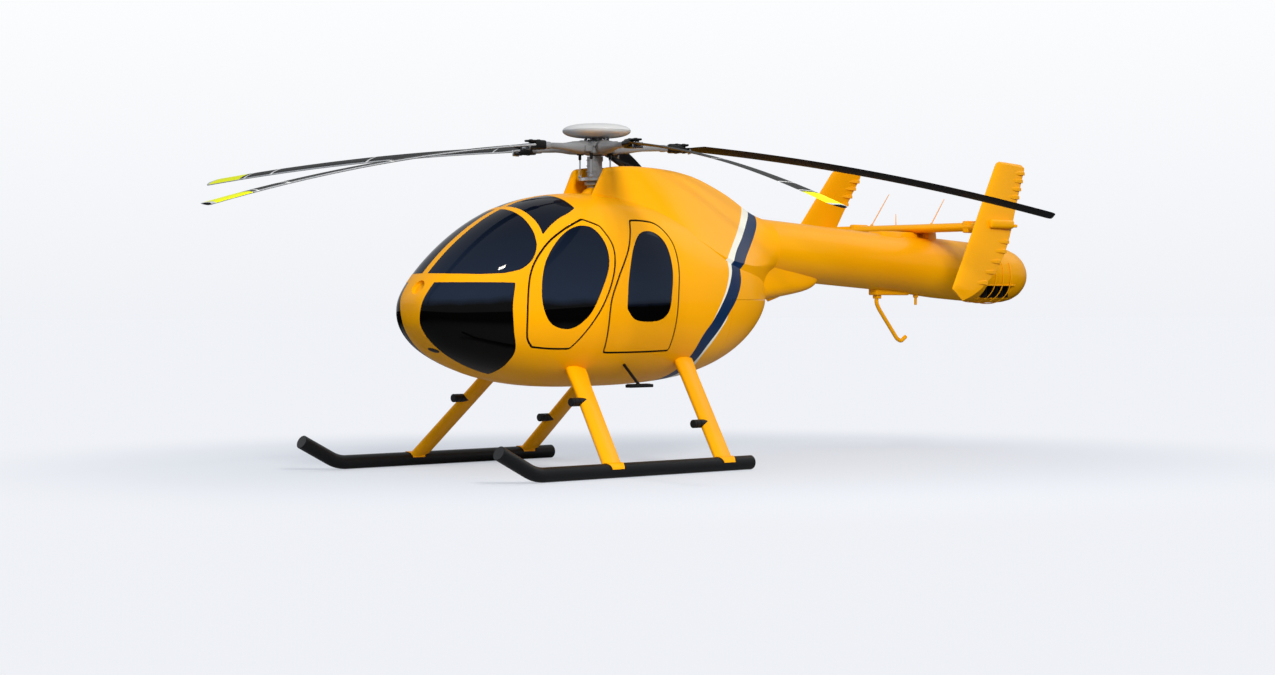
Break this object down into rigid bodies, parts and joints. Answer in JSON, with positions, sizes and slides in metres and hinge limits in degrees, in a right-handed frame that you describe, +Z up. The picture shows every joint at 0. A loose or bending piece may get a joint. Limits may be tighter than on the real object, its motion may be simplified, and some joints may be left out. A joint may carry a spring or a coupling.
{
  "type": "helicopter",
  "caption": "Light helicopter with an egg-shaped cabin, drooping main rotor, round blown tail boom, swept twin fins and tall skid gear.",
  "frame": {"origin": "on the ground under the middle of the overall length with the rotor as pictured; the rotor axis stands 0.87 m ahead of it", "axes": "+Z up, nose towards -Y, port side towards +X"},
  "size_m": [7.9681, 10.07, 2.9678],
  "materials": {
    "yellow_enamel": "glossy warm yellow paint",
    "tinted_acrylic": "dark tinted transparent sheet",
    "black_paint": "satin black paint",
    "grey_trim": "matt dark grey",
    "grey_alloy": "satin grey metal",
    "white_enamel": "glossy white paint",
    "grey_leather": "dark grey seat cover"
  },
  "bodies": {
    "airframe": {"nose_frame": "yellow_enamel", "cabin_shell": "yellow_enamel", "belly_pan": "yellow_enamel", "aft_fuselage": "yellow_enamel", "rotor_fairing": "yellow_enamel", "exhaust_fairing": "yellow_enamel", "windscreen_left": "tinted_acrylic", "windscreen_right": "tinted_acrylic", "nose_window_left": "tinted_acrylic", "nose_window_right": "tinted_acrylic", "roof_window_left": "tinted_acrylic", "roof_window_right": "tinted_acrylic", "cabin_floor": "grey_trim", "cabin_bulkhead": "grey_trim", "control_tunnel": "grey_trim", "instrument_console": "grey_trim", "front_seat_left": "grey_leather", "front_seat_right": "grey_leather", "rear_seat": "grey_leather", "engine_block": "grey_alloy", "mast": "grey_alloy", "tail_boom": "yellow_enamel", "tailplane": "yellow_enamel", "fin_left": "yellow_enamel", "fin_right": "yellow_enamel", "tail_bumper": "yellow_enamel", "skid_left": "black_paint", "skid_right": "black_paint", "front_leg_left": "yellow_enamel", "front_leg_right": "yellow_enamel", "rear_leg_left": "yellow_enamel", "rear_leg_right": "yellow_enamel", "step_left": "black_paint", "step_right": "black_paint"},
    "main_rotor": {"rotor_hub": "grey_alloy", "pitch_links": "grey_alloy", "hub_cap": "white_enamel", "blade_1": "black_paint", "blade_2": "black_paint", "blade_3": "black_paint", "blade_4": "black_paint", "blade_5": "black_paint"},
    "left_front_door": {"front_door_left": "yellow_enamel", "front_door_glass_left": "tinted_acrylic"},
    "right_front_door": {"front_door_right": "yellow_enamel", "front_door_glass_right": "tinted_acrylic"},
    "left_rear_door": {"rear_door_left": "yellow_enamel", "rear_door_glass_left": "tinted_acrylic"},
    "right_rear_door": {"rear_door_right": "yellow_enamel", "rear_door_glass_right": "tinted_acrylic"},
    "left_engine_door": {"engine_door_left": "yellow_enamel"},
    "right_engine_door": {"engine_door_right": "yellow_enamel"},
    "thruster": {"tail_thruster": "yellow_enamel"}
  },
  "joints": [
    {"name": "main_rotor_spin", "type": "hinge", "parent": "airframe", "child": "main_rotor", "pos_m": [0, -0.87, 2.76], "axis": [0, 0, 1], "continuous": true},
    {"name": "left_front_door_hinge", "type": "hinge", "parent": "airframe", "child": "left_front_door", "pos_m": [0.603, -2.1965, 1.34], "axis": [0, 0, -1], "range_deg": [0, 75]},
    {"name": "right_front_door_hinge", "type": "hinge", "parent": "airframe", "child": "right_front_door", "pos_m": [-0.603, -2.1965, 1.34], "axis": [0, 0, 1], "range_deg": [0, 75]},
    {"name": "left_rear_door_hinge", "type": "hinge", "parent": "airframe", "child": "left_rear_door", "pos_m": [0.734, -1.399, 1.26], "axis": [0, 0, -1], "range_deg": [0, 75]},
    {"name": "right_rear_door_hinge", "type": "hinge", "parent": "airframe", "child": "right_rear_door", "pos_m": [-0.734, -1.399, 1.26], "axis": [0, 0, 1], "range_deg": [0, 75]},
    {"name": "left_engine_door_hinge", "type": "hinge", "parent": "airframe", "child": "left_engine_door", "pos_m": [0.575, 0.245, 1.32], "axis": [0, 0, -1], "range_deg": [0, 80]},
    {"name": "right_engine_door_hinge", "type": "hinge", "parent": "airframe", "child": "right_engine_door", "pos_m": [-0.575, 0.245, 1.32], "axis": [0, 0, 1], "range_deg": [0, 80]},
    {"name": "thruster_turn", "type": "hinge", "parent": "airframe", "child": "thruster", "pos_m": [0, 4.12, 1.7397], "axis": [0, 0.9981, -0.0619], "range_deg": [-45, 45]}
  ]
}
